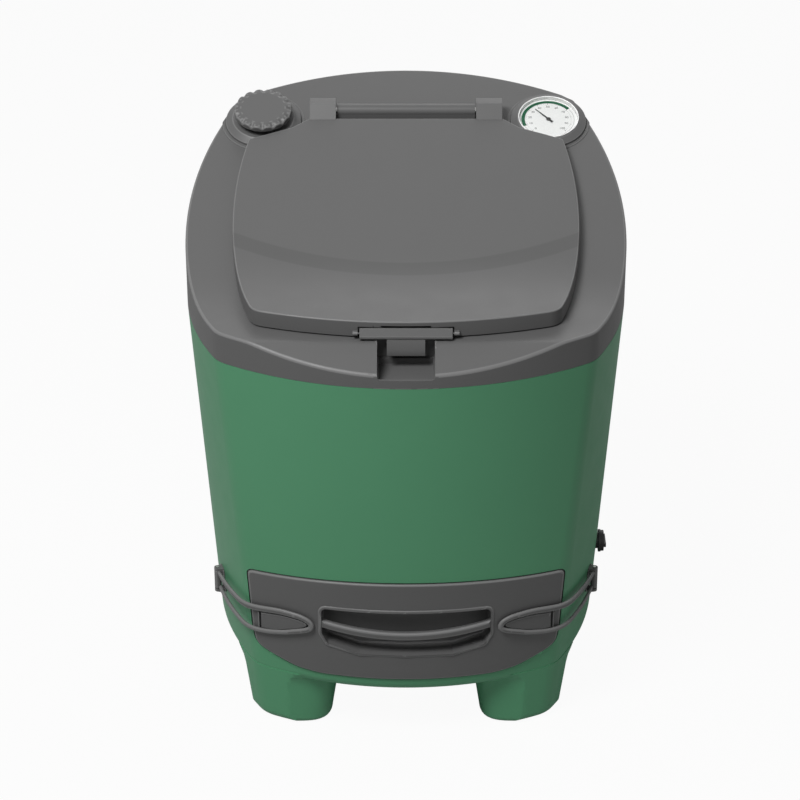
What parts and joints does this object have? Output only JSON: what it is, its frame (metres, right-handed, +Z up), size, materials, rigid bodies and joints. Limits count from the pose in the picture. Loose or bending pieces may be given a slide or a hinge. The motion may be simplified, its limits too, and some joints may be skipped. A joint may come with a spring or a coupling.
{
  "type": "compost bin",
  "caption": "Insulated garden compost bin: tapered tub on feet, sloping cover with hinged filling lid, vent knob and thermometer, low emptying hatch held by swinging loops.",
  "frame": {"origin": "centre of the footprint on the ground, under the middle of the body", "axes": "+Z up, -Y the front with the emptying hatch and the lid latch, +X the right-hand side as seen from the front"},
  "size_m": [0.74, 0.74, 0.954],
  "materials": {
    "green_plastic": "satin, faintly grained rotational moulding",
    "dark_grey_plastic": "satin",
    "light_grey_plastic": "matte",
    "black_plastic": "satin",
    "foam": "matte rigid foam",
    "seal_rubber": "matte",
    "steel": "zinc plated",
    "white_dial": "printed white",
    "needle_black": "black",
    "clear_lens": "clear"
  },
  "bodies": {
    "body": {"outer_shell": "green_plastic", "wall_insulation": "foam", "base_insulation": "foam", "inner_liner": "light_grey_plastic", "seepage_tray": "black_plastic", "floor_grate": "light_grey_plastic", "hatch_frame": "dark_grey_plastic", "air_duct": "black_plastic", "intake_pipe": "black_plastic", "drain_pipe": "black_plastic", "top_cover": "dark_grey_plastic", "cover_insulation": "foam", "cover_inner_pan": "light_grey_plastic", "cover_screws": "steel", "hinge_pins": "steel", "vent_pipe": "black_plastic", "thermometer_case": "black_plastic", "thermometer_dial": "white_dial", "thermometer_lens": "clear_lens", "thermometer_probe": "steel", "left_loop_anchor": "dark_grey_plastic", "right_loop_anchor": "dark_grey_plastic", "loop_pins": "steel"},
    "lid": {"lid_shell": "dark_grey_plastic", "lid_insulation": "foam", "lid_inner_pan": "light_grey_plastic", "lid_seal": "seal_rubber", "lid_screws": "steel", "latch_pin": "steel", "latch_spring": "steel"},
    "latch": {"lid_latch": "dark_grey_plastic"},
    "vent": {"vent_knob": "dark_grey_plastic", "vent_shutter": "black_plastic", "vent_spindle": "steel"},
    "pointer": {"thermometer_pointer": "needle_black"},
    "hatch": {"hatch_panel": "dark_grey_plastic", "hatch_handle": "dark_grey_plastic", "hatch_insulation": "foam", "hatch_inner_pan": "light_grey_plastic", "hatch_seal": "seal_rubber", "hatch_screws": "steel"},
    "loop_left": {"left_loop": "dark_grey_plastic"},
    "loop_right": {"right_loop": "dark_grey_plastic"},
    "intake": {"intake_valve": "black_plastic"},
    "cap": {"drain_cap": "black_plastic"}
  },
  "joints": [
    {"name": "lid_hinge", "type": "hinge", "parent": "body", "child": "lid", "pos_m": [0, 0.246, 0.92501], "axis": [-1, 0, 0], "range_deg": [0, 105]},
    {"name": "latch_hinge", "type": "hinge", "parent": "lid", "child": "latch", "pos_m": [0, -0.297, 0.76146], "axis": [-1, 0, 0], "range_deg": [0, 25], "stiffness_Nm_per_rad": 0.4, "springref_deg": -28.65},
    {"name": "vent_turn", "type": "hinge", "parent": "body", "child": "vent", "pos_m": [-0.2485, 0.24, 0.90524], "axis": [0, -0.3512, 0.9363], "range_deg": [0, 90]},
    {"name": "pointer_turn", "type": "hinge", "parent": "body", "child": "pointer", "pos_m": [0.2485, 0.24, 0.90524], "axis": [0, 0.3512, -0.9363], "range_deg": [-94, 176]},
    {"name": "hatch_slide", "type": "slide", "parent": "body", "child": "hatch", "axis": [0, -1, 0], "range_m": [0, 0.12]},
    {"name": "left_loop_hinge", "type": "hinge", "parent": "body", "child": "loop_left", "pos_m": [-0.327, -0.15, 0.212], "axis": [0, 0, -1], "range_deg": [0, 110.5]},
    {"name": "right_loop_hinge", "type": "hinge", "parent": "body", "child": "loop_right", "pos_m": [0.327, -0.15, 0.212], "axis": [0, 0, 1], "range_deg": [0, 110.5]},
    {"name": "intake_turn", "type": "hinge", "parent": "body", "child": "intake", "pos_m": [0.3435, -0.05, 0.229], "axis": [1, 0, 0], "range_deg": [0, 90]},
    {"name": "cap_slide", "type": "slide", "parent": "body", "child": "cap", "axis": [0, 1, 0], "range_m": [0, 0.025]}
  ],
  "couplings": [
    {"joint": "left_loop_hinge", "follows": "hatch_slide", "rad_per_m": 16},
    {"joint": "right_loop_hinge", "follows": "hatch_slide", "rad_per_m": 16}
  ]
}
